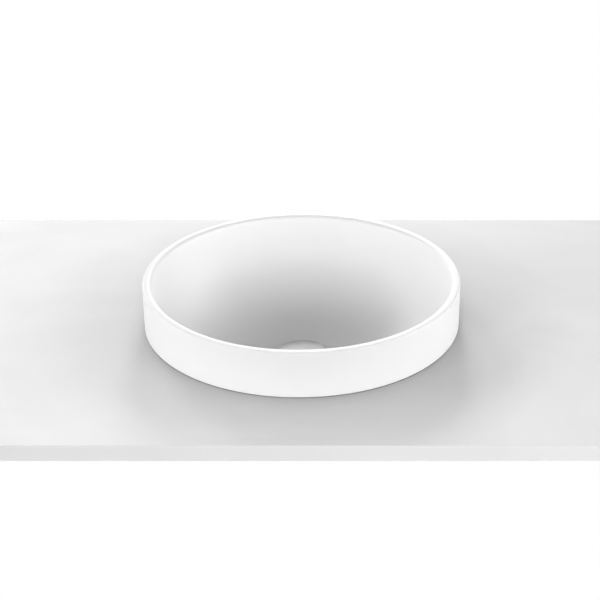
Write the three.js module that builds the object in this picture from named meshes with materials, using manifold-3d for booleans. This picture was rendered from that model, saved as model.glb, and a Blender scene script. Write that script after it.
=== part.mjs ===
// Semi-inset wash basin with a press-to-close waste, in millimetres, +Z up.
// The origin lies on the basin's axis in the plane of the bench top, and -Y faces the user.
import * as THREE from 'three';
import { mergeVertices, toCreasedNormals } from 'three/addons/utils/BufferGeometryUtils.js';
import Module from 'manifold-3d';

const wasm = await Module();
wasm.setup();

// Clearances and limits that all pieces share
const seatGap = 0.3; // between two pieces that touch, slide or screw together
const cutOverrun = 1; // how far a cutting shape runs past what it cuts
const mergeDistance = 0.0001;
const creaseAngle = THREE.MathUtils.degToRad(35);

// Steps round each turned piece
const basinSteps = 80;
const wasteSteps = 40;
const cartridgeSteps = 24;
const heelSteps = 10;
const rimRoundSteps = 4;

// Basin: the ring above the bench
const basinRadius = 200;
const upstandHeight = 60;
const rimWall = 12;
const rimInnerRound = 6;
const rimOuterRound = 2;
const footChamfer = 1.5;

// Basin: the bowl below it
const wallLean = THREE.MathUtils.degToRad(8);
const wallHeight = 17; // of the straight wall between the rim's round and the heel
const heelRadius = 100;
const floorFall = THREE.MathUtils.degToRad(4);
const shellWall = 10.5;
const seatFillet = 3; // in the corner between the seat ring and the shell
const recessDepth = 3.5;
const recessMargin = 2.5; // between the cap's edge and the recess wall
const recessLip = 1;
const bossMargin = 14; // how far the boss reaches past the back nut's seal
const bossWall = 15;

// Waste body: G 1 1/4 thread, drawn at its major radius
const threadRadius = 20.955;
const tubeWall = 2.75;
const tubeLength = 80; // below the flange
const tubeChamfer = 1;
const flangeThickness = 2;
const flangeChamfer = 0.6;
const throatDepth = 4;
const throatFlare = 2; // how much wider the tube's bore is at the flange
const holeMargin = 1.8; // the ceramic hole's radius past the thread

// Waste body: the hub that carries the cartridge
const hubDrop = 26.6; // from the flange's top to the hub's
const hubHeight = 8;
const hubWall = 3.3;
const armCount = 3;
const armWidth = 3;
const armHeight = 6;

// Seals and nut that clamp the waste
const gasketThickness = 1.5;
const gasketMargin = 1.2; // from the ceramic hole's edge to the gasket
const gasketWidth = 8;
const taperSealWidth = 8;
const taperSealHeight = 7;
const taperSealSpigot = 3; // how far it reaches up into the waste hole
const taperSealFlare = 1;
const slipWasherThickness = 2;
const slipWasherWidth = 10;
const backNutAcross = 55;
const backNutHeight = 9;

// Plug: cap, seal, plunger and lock nut
const capOverhang = 1; // how far the cap reaches past the flange
const capRise = 5.5; // the dome's height over its edge
const capEdge = 1.6;
const capEdgeRound = 0.5;
const capReveal = 0.8; // gap between the cap's edge and the flange when closed
const capSteps = 8;
const capBossWall = 3;
const capBossDrop = 11; // from the cap's edge down to the boss's end
const sealPocketDepth = 1.6;
const sealPocketRim = 6;
const sealSpigotDepth = 2;
const plungerRadius = 3;
const plungerShoulderHeight = 3;
const plungerSpigotRadius = 1.6;
const plungerSpigotLength = 4.5;
const lockNutAcross = 10;
const lockNutHeight = 3;
const plugTravel = 9; // from closed to open

// Cartridge: sleeve, bush, rotor, spring and spring seat
const sleeveRadius = 7;
const sleeveHeadroom = 1.5; // between the lock nut and the sleeve's top when closed
const sleeveHexAcross = 18;
const sleeveHexHeight = 4;
const chamberRadius = 4.7;
const bushWall = 1.2; // how far the bush reaches past the chamber
const bushHeight = 6;
const rotorHeight = 6;
const lugCount = 4;
const lugHeight = 3;
const lugReach = 1;
const lugWidth = 1.6;
const lugTurn = THREE.MathUtils.degToRad(45); // over the plug's whole travel
const lugSteps = 6;
const springLength = 16; // when the plug is closed
const springWire = 0.9;
const springCoils = 6;
const springSideSteps = 5;
const springCoilSteps = 8;
const springSeatHeight = 4;
const springSeatSpigot = 4;
const oRingCord = 1.5;
const oRingSections = 8;

// Radii that pieces share
const holeRadius = threadRadius + holeMargin;
const gasketInner = holeRadius + gasketMargin;
const flangeRadius = gasketInner + gasketWidth;
const capRadius = flangeRadius + capOverhang;
const recessRadius = capRadius + recessMargin;
const lipRadius = recessRadius + recessLip;
const tubeBore = threadRadius - tubeWall;
const threadBore = threadRadius + seatGap;
const sealRadius = threadBore + taperSealWidth;
const bossRadius = sealRadius + bossMargin;
const sleeveBore = sleeveRadius + seatGap;
const hubRadius = sleeveBore + hubWall;
const plungerBore = plungerRadius + seatGap;
const capBossRadius = plungerBore + capBossWall;
const sealPocketRadius = capRadius - sealPocketRim;
const lugRadius = chamberRadius - seatGap + lugReach;
const trackRadius = lugRadius + seatGap;
const rotorRadius = chamberRadius - seatGap;
const springRadius = rotorRadius - springWire;

// The bowl's section as [radius, level]: a leaning wall, a large round heel and a falling floor
const rimLevel = upstandHeight;
const rimRoundCentre = [basinRadius - rimWall + rimInnerRound, rimLevel - rimInnerRound];
const wallNormal = [-Math.cos(wallLean), Math.sin(wallLean)];
const floorNormal = [-Math.sin(floorFall), Math.cos(floorFall)];
const wallTop = rimRoundCentre.map((value, i) => value + rimInnerRound * wallNormal[i]);
const wallFoot = [wallTop[0] - wallHeight * Math.tan(wallLean), wallTop[1] - wallHeight];
const heelCentre = wallFoot.map((value, i) => value + heelRadius * wallNormal[i]);
const heelFoot = heelCentre.map((value, i) => value - heelRadius * floorNormal[i]);

// Levels, from the bench top at zero
const floorLevel = heelFoot[1] - (heelFoot[0] - lipRadius) * Math.tan(floorFall);
const recessLevel = floorLevel - recessDepth;
const undersideLevel = recessLevel - bossWall;
const gasketLevel = recessLevel + seatGap;
const flangeBottom = gasketLevel + gasketThickness + seatGap;
const flangeTop = flangeBottom + flangeThickness;
const tubeEnd = flangeBottom - tubeLength;
const hubTop = flangeTop - hubDrop;
const hubBottom = hubTop - hubHeight;
const capLevel = flangeTop + capReveal;
const sealLevel = flangeTop + seatGap;
const capBossEnd = capLevel - capBossDrop;
const lockNutLevel = capBossEnd - seatGap - lockNutHeight;
const sleeveTop = lockNutLevel - sleeveHeadroom;
const bushLevel = sleeveTop - bushHeight;
const shoulderLevel = bushLevel - seatGap - plugTravel - plungerShoulderHeight;
const rotorLevel = shoulderLevel - seatGap - rotorHeight;
const springLevel = rotorLevel - seatGap - springLength;
const springSeatTop = springLevel - seatGap;
const sleeveBottom = springSeatTop - springSeatHeight;

// Materials
const whiteGlaze = new THREE.MeshStandardMaterial({ color: '#f4f4f2', roughness: 0.5, metalness: 0 });
const chrome = new THREE.MeshStandardMaterial({ color: '#d5d8db', roughness: 0.1, metalness: 1 });
const brass = new THREE.MeshStandardMaterial({ color: '#c2a35c', roughness: 0.3, metalness: 1 });
const steel = new THREE.MeshStandardMaterial({ color: '#aeb1b4', roughness: 0.3, metalness: 1 });
const rubber = new THREE.MeshStandardMaterial({ color: '#2b2b2c', roughness: 0.8, metalness: 0 });
const acetal = new THREE.MeshStandardMaterial({ color: '#e9e8e2', roughness: 0.5, metalness: 0 });
const redNylon = new THREE.MeshStandardMaterial({ color: '#b4463a', roughness: 0.5, metalness: 0 });

// A closed geometry as a solid that can be joined and cut.
function solidOf(geometry) {
  const bare = geometry.clone();
  bare.deleteAttribute('normal');
  bare.deleteAttribute('uv');
  const merged = mergeVertices(bare, mergeDistance);
  const corners = [];
  for (let i = 0; i < merged.index.count; i += 3) {
    const [a, b, c] = [0, 1, 2].map((k) => merged.index.getX(i + k));
    if (a !== b && b !== c && c !== a) corners.push(a, b, c);
  }
  return new wasm.Manifold(new wasm.Mesh({
    numProp: 3,
    vertProperties: merged.attributes.position.array,
    triVerts: Uint32Array.from(corners),
  }));
}

// A solid as a geometry with smooth faces and crisp corners.
function geometryOf(solid) {
  const { vertProperties, triVerts } = solid.getMesh();
  const geometry = new THREE.BufferGeometry();
  geometry.setAttribute('position', new THREE.BufferAttribute(vertProperties, 3));
  geometry.setIndex(new THREE.BufferAttribute(triVerts, 1));
  return toCreasedNormals(geometry, creaseAngle);
}

// A profile of [radius, height] points turned round the Z axis. The points run anticlockwise.
function turned(profile, steps) {
  const points = profile.map(([radius, height]) => new THREE.Vector2(radius, height));
  if (profile[0][0] > 0) points.push(points[0].clone());
  return solidOf(new THREE.LatheGeometry(points, steps).rotateX(Math.PI / 2));
}

// A ring of rectangular section, standing on zero.
function ring(inner, outer, height, steps) {
  return turned([[inner, 0], [outer, 0], [outer, height], [inner, height]], steps);
}

// Points on an arc of a profile, from one angle to another.
function arc([radius, height], size, from, to, steps) {
  return Array.from({ length: steps + 1 }, (_, i) => {
    const angle = THREE.MathUtils.lerp(from, to, i / steps);
    return [radius + size * Math.cos(angle), height + size * Math.sin(angle)];
  });
}

// A hexagon nut or head with turned corners, standing on zero.
function hexagon(across, height, bore, steps) {
  const cornerRadius = across / Math.sqrt(3);
  const chamfer = cornerRadius - across / 2;
  const outline = new THREE.Shape(Array.from({ length: 6 }, (_, i) => {
    const angle = (i * Math.PI) / 3;
    return new THREE.Vector2(cornerRadius * Math.cos(angle), cornerRadius * Math.sin(angle));
  }));
  const prism = solidOf(new THREE.ExtrudeGeometry(outline, { depth: height, bevelEnabled: false }));
  const envelope = turned([
    [bore, 0], [cornerRadius - chamfer, 0], [cornerRadius, chamfer / 2],
    [cornerRadius, height - chamfer / 2], [cornerRadius - chamfer, height], [bore, height],
  ], steps);
  return prism.intersect(envelope);
}

// A bar that reaches out along X from the axis and turns as it climbs, standing on zero.
function twistedBar(reach, width, height, steps) {
  const outline = new THREE.Shape([
    new THREE.Vector2(0, -width / 2), new THREE.Vector2(reach, -width / 2),
    new THREE.Vector2(reach, width / 2), new THREE.Vector2(0, width / 2),
  ]);
  const geometry = new THREE.ExtrudeGeometry(outline, { depth: height, steps, bevelEnabled: false });
  const place = geometry.attributes.position;
  const corner = new THREE.Vector3();
  const upright = new THREE.Vector3(0, 0, 1);
  for (let i = 0; i < place.count; i++) {
    corner.fromBufferAttribute(place, i);
    corner.applyAxisAngle(upright, (corner.z * lugTurn) / plugTravel);
    place.setXYZ(i, corner.x, corner.y, corner.z);
  }
  return solidOf(geometry);
}

// Copies of a solid spread evenly round the axis.
function around(solid, count) {
  const copies = Array.from({ length: count }, (_, i) => solid.rotate([0, 0, (i * 360) / count]));
  return copies.reduce((all, copy) => all.add(copy));
}

function piece(name, solid, material, level, group) {
  const mesh = new THREE.Mesh(geometryOf(solid), material);
  mesh.name = name;
  mesh.position.set(0, 0, level);
  group.add(mesh);
}

// The ceramic's outside below the bench: the bowl's own section, moved out by the shell's wall.
function shellOutside() {
  const outer = heelRadius + shellWall;
  const floorAngle = floorFall - Math.PI / 2;
  const seatAngle = Math.asin(THREE.MathUtils.clamp((-seatFillet - heelCentre[1]) / outer, -1, 1));
  const heel = arc(heelCentre, outer, floorAngle, Math.min(seatAngle, -wallLean), heelSteps);
  if (seatAngle > -wallLean) {
    const [radius, height] = heel.at(-1);
    heel.push([radius + (-seatFillet - height) * Math.tan(wallLean), -seatFillet]);
  }
  return heel;
}

// Basin bowl: slip-cast ceramic in one piece, with the waste recess, hole and boss
function basinBowl() {
  const shell = shellOutside();
  const seatInner = shell.at(-1)[0] + seatFillet;
  const bossTop = shell[0][1] - (shell[0][0] - bossRadius) * Math.tan(floorFall);
  const bossDrop = bossTop - undersideLevel;
  const rimOuterCentre = [basinRadius - rimOuterRound, rimLevel - rimOuterRound];
  return turned([
    [holeRadius, recessLevel],
    [holeRadius, undersideLevel],
    [bossRadius, undersideLevel],
    [bossRadius + bossDrop, bossTop],
    ...shell,
    [seatInner, 0],
    [basinRadius - footChamfer, 0],
    [basinRadius, footChamfer],
    ...arc(rimOuterCentre, rimOuterRound, 0, Math.PI / 2, rimRoundSteps / 2),
    ...arc(rimRoundCentre, rimInnerRound, Math.PI / 2, Math.PI - wallLean, rimRoundSteps),
    ...arc(heelCentre, heelRadius, -wallLean, floorFall - Math.PI / 2, heelSteps),
    [lipRadius, floorLevel],
    [recessRadius, floorLevel - recessLip],
    [recessRadius, recessLevel],
  ], basinSteps);
}

// Waste body: a flange and a threaded tube, with a hub held on arms inside the tube
function wasteBody() {
  const throat = tubeBore + throatFlare;
  const shell = turned([
    [tubeBore, tubeEnd],
    [threadRadius - tubeChamfer, tubeEnd],
    [threadRadius, tubeEnd + tubeChamfer],
    [threadRadius, flangeBottom],
    [flangeRadius, flangeBottom],
    [flangeRadius, flangeTop - flangeChamfer],
    [flangeRadius - flangeChamfer, flangeTop],
    [throat, flangeTop],
    [tubeBore, flangeTop - throatDepth],
  ], wasteSteps);
  const armLength = tubeBore + tubeWall / 2 - sleeveBore;
  const arm = solidOf(new THREE.BoxGeometry(armLength, armWidth, armHeight)
    .translate(sleeveBore + armLength / 2, 0, hubTop - seatGap - armHeight / 2))
    .rotate([0, 0, 90]);
  const oRingPocket = oRingCord + seatGap;
  const hub = ring(0, hubRadius, hubHeight, wasteSteps).translate([0, 0, hubBottom]);
  const bore = ring(0, sleeveBore, hubHeight + 2 * cutOverrun, wasteSteps)
    .translate([0, 0, hubBottom - cutOverrun]);
  const pocket = ring(0, sleeveBore + oRingPocket, oRingPocket + cutOverrun, wasteSteps)
    .translate([0, 0, hubTop - oRingPocket]);
  return shell.add(around(arm, armCount)).add(hub).subtract(bore).subtract(pocket);
}

// Taper seal: a rubber cone that fills the gap round the thread and seals under the boss
function taperSeal() {
  return turned([
    [threadBore, 0],
    [sealRadius + taperSealFlare, 0],
    [sealRadius, taperSealHeight],
    [holeRadius - seatGap, taperSealHeight],
    [holeRadius - seatGap, taperSealHeight + taperSealSpigot],
    [threadBore, taperSealHeight + taperSealSpigot],
  ], wasteSteps);
}

// Plug cap: a turned and plated dome, with a pocket for the seal and a threaded boss below
function plugCap() {
  const sphere = (capRadius ** 2 + capRise ** 2) / (2 * capRise);
  const edgeAngle = Math.acos((capRadius - capEdgeRound) / sphere);
  const dome = arc([0, capEdge + capRise - sphere], sphere, edgeAngle, Math.PI / 2, capSteps);
  dome[dome.length - 1][0] = 0;
  const threadEnd = capReveal - seatGap;
  return turned([
    [0, threadEnd],
    [plungerBore, threadEnd],
    [plungerBore, -capBossDrop],
    [capBossRadius, -capBossDrop],
    [capBossRadius, sealPocketDepth],
    [sealPocketRadius, sealPocketDepth],
    [sealPocketRadius, 0],
    [capRadius - capEdgeRound, 0],
    [capRadius, capEdgeRound],
    [capRadius, dome[0][1] - capEdgeRound],
    ...dome,
  ], wasteSteps);
}

// Plug seal: a rubber washer in the cap's pocket, with a lip that drops into the throat
function plugSeal() {
  const inner = capBossRadius + seatGap;
  const top = capLevel + sealPocketDepth - seatGap - sealLevel;
  return turned([
    [inner, -sealSpigotDepth],
    [tubeBore - seatGap, -sealSpigotDepth],
    [tubeBore - seatGap, 0],
    [sealPocketRadius - seatGap, 0],
    [sealPocketRadius - seatGap, top],
    [inner, top],
  ], wasteSteps);
}

// Plunger: the push rod, with a shoulder that bears on the rotor and a spigot that centres it
function plunger() {
  const top = capLevel + capReveal - 2 * seatGap - shoulderLevel;
  return turned([
    [0, -plungerSpigotLength],
    [plungerSpigotRadius, -plungerSpigotLength],
    [plungerSpigotRadius, 0],
    [rotorRadius, 0],
    [rotorRadius, plungerShoulderHeight],
    [plungerRadius, plungerShoulderHeight],
    [plungerRadius, top],
    [0, top],
  ], cartridgeSteps);
}

// Cam rotor: a drum with twisted lugs that follow the sleeve's tracks
function camRotor() {
  const drum = ring(plungerSpigotRadius + seatGap, rotorRadius, rotorHeight, cartridgeSteps);
  const eye = ring(0, plungerSpigotRadius + seatGap, lugHeight + 2 * cutOverrun, cartridgeSteps)
    .translate([0, 0, -cutOverrun]);
  const lug = twistedBar(lugRadius, lugWidth, lugHeight, lugSteps / 2);
  return drum.add(around(lug, lugCount).subtract(eye));
}

// Cartridge sleeve: a barrel with a hexagon head, twisted tracks and a wider spring chamber
function cartridgeSleeve() {
  const hexLevel = hubTop + seatGap;
  const hexBase = hexLevel - sleeveBottom;
  const length = sleeveTop - sleeveBottom;
  const trackBottom = rotorLevel - seatGap - sleeveBottom;
  const trackHeight = plugTravel + lugHeight + 2 * seatGap + cutOverrun;
  const body = ring(0, sleeveRadius, length, cartridgeSteps)
    .add(hexagon(sleeveHexAcross, sleeveHexHeight, 0, cartridgeSteps).translate([0, 0, hexBase]));
  const chamber = ring(0, chamberRadius, length + 2 * cutOverrun, cartridgeSteps)
    .translate([0, 0, -cutOverrun]);
  const springChamber = ring(0, trackRadius, trackBottom + cutOverrun, cartridgeSteps)
    .translate([0, 0, -cutOverrun]);
  const bushSeat = ring(0, chamberRadius + bushWall, bushHeight + cutOverrun, cartridgeSteps)
    .translate([0, 0, bushLevel - sleeveBottom]);
  const turnBack = (-(seatGap + cutOverrun) * lugTurn) / plugTravel;
  const track = twistedBar(trackRadius, lugWidth + 2 * seatGap, trackHeight, lugSteps)
    .rotate([0, 0, THREE.MathUtils.radToDeg(turnBack)])
    .translate([0, 0, trackBottom - cutOverrun]);
  return body.subtract(chamber).subtract(springChamber).subtract(bushSeat)
    .subtract(around(track, lugCount));
}

// Spring seat: the plug that closes the sleeve's lower end and centres the spring
function springSeat() {
  const spigotRadius = springRadius - springWire / 2 - seatGap;
  return turned([
    [0, 0],
    [trackRadius - seatGap, 0],
    [trackRadius - seatGap, springSeatHeight],
    [spigotRadius, springSeatHeight],
    [spigotRadius, springSeatHeight + springSeatSpigot],
    [0, springSeatHeight + springSeatSpigot],
  ], cartridgeSteps);
}

// Return spring: one unbroken helix of round wire, standing on zero
function returnSpring() {
  const stepCount = springCoils * springCoilSteps;
  const climb = springLength - springWire;
  const centres = Array.from({ length: stepCount + 1 }, (_, i) => {
    const angle = (i * 2 * Math.PI) / springCoilSteps;
    const height = springWire / 2 + (climb * i) / stepCount;
    return new THREE.Vector3(springRadius * Math.cos(angle), springRadius * Math.sin(angle), height);
  });
  const gaps = centres.slice(springCoilSteps)
    .map((centre, i) => centre.distanceTo(centres[i]) - springWire);
  console.log(`return_spring: least gap to itself ${Math.min(...gaps).toFixed(2)} mm`);
  const places = [];
  centres.forEach((centre, i) => {
    const angle = (i * 2 * Math.PI) / springCoilSteps;
    for (let k = 0; k < springSideSteps; k++) {
      const side = (k * 2 * Math.PI) / springSideSteps;
      const radius = springRadius + (springWire / 2) * Math.cos(side);
      places.push(radius * Math.cos(angle), radius * Math.sin(angle),
        centre.z + (springWire / 2) * Math.sin(side));
    }
  });
  const corners = [];
  for (let i = 0; i < stepCount; i++) {
    for (let k = 0; k < springSideSteps; k++) {
      const next = (k + 1) % springSideSteps;
      const [a, b] = [i * springSideSteps + k, i * springSideSteps + next];
      corners.push(a, b + springSideSteps, b, a, a + springSideSteps, b + springSideSteps);
    }
  }
  const last = stepCount * springSideSteps;
  for (let k = 1; k + 1 < springSideSteps; k++) {
    corners.push(0, k, k + 1, last, last + k + 1, last + k);
  }
  const geometry = new THREE.BufferGeometry();
  geometry.setAttribute('position', new THREE.Float32BufferAttribute(places, 3));
  geometry.setIndex(corners);
  return solidOf(geometry);
}

// O-ring: sits round the sleeve in the hub's pocket
function cartridgeORing() {
  const cord = oRingCord / 2;
  return solidOf(new THREE.TorusGeometry(sleeveBore + cord, cord, oRingSections, cartridgeSteps));
}

// The basin, then the waste from top to bottom
const basin = new THREE.Group();
const waste = new THREE.Group();
const cartridge = new THREE.Group();
const plug = new THREE.Group();
basin.add(waste);
waste.add(cartridge, plug);

const nutSeat = undersideLevel - seatGap - taperSealHeight;
const washerLevel = nutSeat - seatGap - slipWasherThickness;
const nutLevel = washerLevel - seatGap - backNutHeight;

piece('basin_bowl', basinBowl(), whiteGlaze, 0, basin);
piece('waste_body', wasteBody(), chrome, 0, waste);
piece('flange_gasket', ring(gasketInner, flangeRadius, gasketThickness, wasteSteps),
  rubber, gasketLevel, waste);
piece('taper_seal', taperSeal(), rubber, nutSeat, waste);
piece('slip_washer', ring(threadBore, threadBore + slipWasherWidth, slipWasherThickness, wasteSteps),
  acetal, washerLevel, waste);
piece('back_nut', hexagon(backNutAcross, backNutHeight, threadBore, wasteSteps), brass, nutLevel, waste);

piece('cartridge_sleeve', cartridgeSleeve(), brass, sleeveBottom, cartridge);
piece('cartridge_o_ring', cartridgeORing(), rubber, hubTop - oRingCord / 2, cartridge);
piece('guide_bush', ring(plungerBore, chamberRadius + bushWall - seatGap, bushHeight, cartridgeSteps),
  acetal, bushLevel, cartridge);
piece('spring_seat', springSeat(), acetal, sleeveBottom, cartridge);
piece('return_spring', returnSpring(), steel, springLevel, cartridge);
piece('cam_rotor', camRotor(), redNylon, rotorLevel, cartridge);

piece('plug_cap', plugCap(), chrome, capLevel, plug);
piece('plug_seal', plugSeal(), rubber, sealLevel, plug);
piece('stem_lock_nut', hexagon(lockNutAcross, lockNutHeight, plungerBore, cartridgeSteps),
  steel, lockNutLevel, plug);
piece('plunger', plunger(), steel, shoulderLevel, plug);

export default basin;
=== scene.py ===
# A semi-inset wash basin with a press-to-close waste, dressed round its fixed frame.
# Metres, +Z up, the user on -Y. The origin is on the basin's axis, in the plane of the bench top.
import math
import bpy
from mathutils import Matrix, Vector


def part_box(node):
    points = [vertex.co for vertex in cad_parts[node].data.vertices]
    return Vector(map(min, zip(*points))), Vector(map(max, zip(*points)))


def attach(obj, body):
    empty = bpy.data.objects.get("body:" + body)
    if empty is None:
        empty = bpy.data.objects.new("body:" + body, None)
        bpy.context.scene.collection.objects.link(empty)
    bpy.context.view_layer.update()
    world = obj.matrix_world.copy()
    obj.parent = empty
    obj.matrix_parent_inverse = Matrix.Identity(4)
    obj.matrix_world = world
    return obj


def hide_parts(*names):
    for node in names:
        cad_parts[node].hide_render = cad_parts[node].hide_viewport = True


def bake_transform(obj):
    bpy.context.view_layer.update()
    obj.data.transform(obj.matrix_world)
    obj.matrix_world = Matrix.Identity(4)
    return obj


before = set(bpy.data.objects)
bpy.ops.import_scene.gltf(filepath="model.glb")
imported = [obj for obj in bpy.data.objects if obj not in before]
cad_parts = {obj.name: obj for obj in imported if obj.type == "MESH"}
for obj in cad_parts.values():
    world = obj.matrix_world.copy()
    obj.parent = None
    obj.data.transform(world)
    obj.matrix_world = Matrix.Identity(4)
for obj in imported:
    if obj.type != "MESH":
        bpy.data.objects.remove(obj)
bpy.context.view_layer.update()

scene = bpy.context.scene
scene.view_settings.view_transform = "Standard"
mm = 0.001


# The view: a camera at a standing user's eye height, a little to the right of the basin's axis,
# with a long lens. A small shift, not a turn, brings the basin back to the middle of the frame.
camera_place = (47.18 * mm, -1702.19 * mm, 890.3 * mm)
camera_pitch = math.radians(26.905)
camera_lens = 90  # in millimetres, like the sensor's width
camera_sensor = 36
camera_shift = -0.0649
bpy.ops.object.select_all(action="DESELECT")
bpy.ops.object.camera_add(location=camera_place, rotation=(math.pi / 2 - camera_pitch, 0, 0))
camera = bpy.context.object
camera.data.lens = camera_lens
camera.data.sensor_width = camera_sensor
camera.data.shift_x = camera_shift
scene.camera = camera


# The background: plain white for the camera and in reflections, with a faint fill on the object,
# so that polished metal shows a bright room and deep hollows don't go black.
fill_strength = 0.04


def feed(tree, node, inputs):
    """Gives each named input of a node a value, or another node's output."""
    for name, value in inputs.items():
        if isinstance(value, bpy.types.NodeSocket):
            tree.links.new(value, node.inputs[name])
        else:
            node.inputs[name].default_value = value


def add(tree, kind, inputs=None, **settings):
    """Adds a node, sets its properties, and feeds its inputs."""
    made = tree.nodes.new("ShaderNode" + kind)
    for name, value in settings.items():
        setattr(made, name, value)
    feed(tree, made, inputs or {})
    return made


def linear(colour):
    """An sRGB hex colour as the linear values that a shader takes."""
    channels = [int(colour[i:i + 2], 16) / 255 for i in (1, 3, 5)]
    return [c / 12.92 if c < 0.04045 else ((c + 0.055) / 1.055) ** 2.4 for c in channels] + [1]


world = bpy.data.worlds.new("white_room")
world.use_nodes = True
world.node_tree.nodes.clear()
path = add(world.node_tree, "LightPath").outputs
seen = add(world.node_tree, "Math", {0: path["Is Camera Ray"], 1: path["Is Glossy Ray"]}, operation="MAXIMUM")
seen = add(world.node_tree, "Math", {0: seen.outputs[0], 1: path["Is Transmission Ray"]}, operation="MAXIMUM")
fill = add(world.node_tree, "Background", {"Color": linear("#ffffff"), "Strength": fill_strength})
white = add(world.node_tree, "Background", {"Color": linear("#ffffff"), "Strength": 1})
shown = add(world.node_tree, "MixShader", {0: seen.outputs[0], 1: fill.outputs[0], 2: white.outputs[0]})
add(world.node_tree, "OutputWorld", {"Surface": shown.outputs[0]})
scene.world = world


# The lamps: round softboxes in a ring, low enough that the bowl shades gently down its wall, and a
# faint one overhead. Two more hang below the bench, for the waste and the bowl's underside.
lamp_distance = 3
lamps = (  # azimuth from the user's side, elevation, watts, diameter in metres
    (0, 15, 23, 1.6), (0, 25, 12, 1.2), (45, 15, 16, 1.6), (60, 25, 6, 1.2), (90, 15, 36, 1.6),
    (120, 27, 13, 1.2), (180, 20, 33, 0.8), (210, 25, 24, 1), (240, 27, 13, 1.2), (270, 15, 20, 1.6),
    (300, 25, 6, 1.2), (315, 15, 23, 1.6), (0, 85, 3, 2.6), (40, -35, 70, 1.6), (220, -35, 70, 1.6),
)


def softbox(azimuth, elevation, watts, size):
    """A round softbox, turned from the user's side, lifted from the bench and aimed at the basin."""
    turn = math.radians(azimuth)
    lift = math.radians(elevation)
    way = Vector((math.sin(turn) * math.cos(lift), -math.cos(turn) * math.cos(lift), math.sin(lift)))
    bpy.ops.object.light_add(type="AREA", location=way * lamp_distance,
                             rotation=way.to_track_quat("Z", "Y").to_euler())
    lamp = bpy.context.object
    lamp.name = f"softbox_{azimuth}_{elevation}"
    lamp.data.shape = "DISK"
    lamp.data.size = size
    lamp.data.energy = watts
    lamp.visible_camera = False
    return lamp


for lamp in lamps:
    softbox(*lamp)


# The bench: a plain pale slab, 20 mm thick, with the round hole that the bowl hangs through.
# It stands for the surface that the basin rests on and isn't part of it. Two softboxes, flagged
# off the basin, even out the long shadow that the others cast towards the user.
bench_front = -302 * mm
bench_back = 310 * mm
bench_side = 900 * mm
bench_thickness = 20 * mm
bench_hole = 187 * mm
bench_steps = 160
hole_cutter = 4 * bench_thickness
honed_from = 0.5  # a face whose normal stands steeper than this is honed, the others are sawn
stone_cloud = 180 * mm
# how far out from the basin the painted shade on the bench reaches
painted_shade_reach = 150 * mm
merge_distance = 0.001 * mm
bench_lamps = ((0, 45, 20, 1.2), (270, 25, 20, 1.2))


def pick(piece):
    """Makes a piece the only one that is selected, and the active one."""
    bpy.ops.object.select_all(action="DESELECT")
    bpy.context.view_layer.objects.active = piece
    piece.select_set(True)


def finish_with(piece, kind, **settings):
    """Adds a modifier to a piece, sets it, and applies it."""
    modifier = piece.modifiers.new(kind.lower(), kind)
    for name, value in settings.items():
        setattr(modifier, name, value)
    pick(piece)
    bpy.ops.object.modifier_apply(modifier=modifier.name)


def combine(piece, operation, *tools):
    """Joins tools to a piece, cuts them from it, or keeps what they share with it, and merges the
    slivers that the cuts leave."""
    for tool in tools:
        finish_with(piece, "BOOLEAN", operation=operation, object=tool, solver="EXACT")
        bpy.data.objects.remove(tool)
    bpy.ops.object.mode_set(mode="EDIT")
    bpy.ops.mesh.select_all(action="SELECT")
    bpy.ops.mesh.remove_doubles(threshold=merge_distance)
    bpy.ops.object.mode_set(mode="OBJECT")


def settle(piece):
    """Puts a piece's place, turn and scale into its mesh, so that its object sits at the origin."""
    pick(piece)
    bpy.ops.object.transform_apply(location=True, rotation=True, scale=True)


def new_material(name):
    """A material with only its surface shader, and the place on the piece that patterns read."""
    material = bpy.data.materials.new(name)
    material.use_nodes = True
    tree = material.node_tree
    place = add(tree, "TexCoord").outputs["Object"]
    return material, tree, tree.nodes["Principled BSDF"], place


def bench_stone(name, dark, light, roughness):
    """Pale stone with soft clouds, and a painted shade where the basin stands close over it: an
    ambient-occlusion node darkens its colour there.
    """
    material, tree, shader, place = new_material(name)
    cloud = add(tree, "TexNoise", {"Vector": place, "Scale": 1 / stone_cloud, "Detail": 3, "Distortion": 1})
    tint = add(tree, "MixRGB", {"Fac": cloud.outputs["Fac"], "Color1": linear(dark), "Color2": linear(light)})
    # painted shade: the ambient-occlusion node darkens the stone's colour close round the basin, like a soft
    # contact shadow
    painted_shade = add(tree, "AmbientOcclusion", {"Color": tint.outputs[0], "Distance": painted_shade_reach})
    feed(tree, shader, {"Base Color": painted_shade.outputs["Color"], "Roughness": roughness})
    return material


bpy.ops.object.select_all(action="DESELECT")
bpy.ops.mesh.primitive_cube_add(size=1, location=(0, (bench_front + bench_back) / 2, -bench_thickness / 2),
                                scale=(2 * bench_side, bench_back - bench_front, bench_thickness))
bench = bpy.context.object
bench.name = "bench"
bpy.ops.mesh.primitive_cylinder_add(vertices=bench_steps, radius=bench_hole, depth=hole_cutter)
combine(bench, "DIFFERENCE", bpy.context.object)
settle(bench)
bench.data.materials.append(bench_stone("honed_stone", "#cacaca", "#dddddd", roughness=0.6))
bench.data.materials.append(bench_stone("sawn_stone", "#bcbcbc", "#c4c4c4", roughness=0.8))
for face in bench.data.polygons:
    face.material_index = 0 if abs(face.normal.z) > honed_from else 1
bench_alone = bpy.data.collections.new("bench_alone")
bench_alone.objects.link(bench)
for lamp in bench_lamps:
    softbox(*lamp).light_linking.receiver_collection = bench_alone


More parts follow.
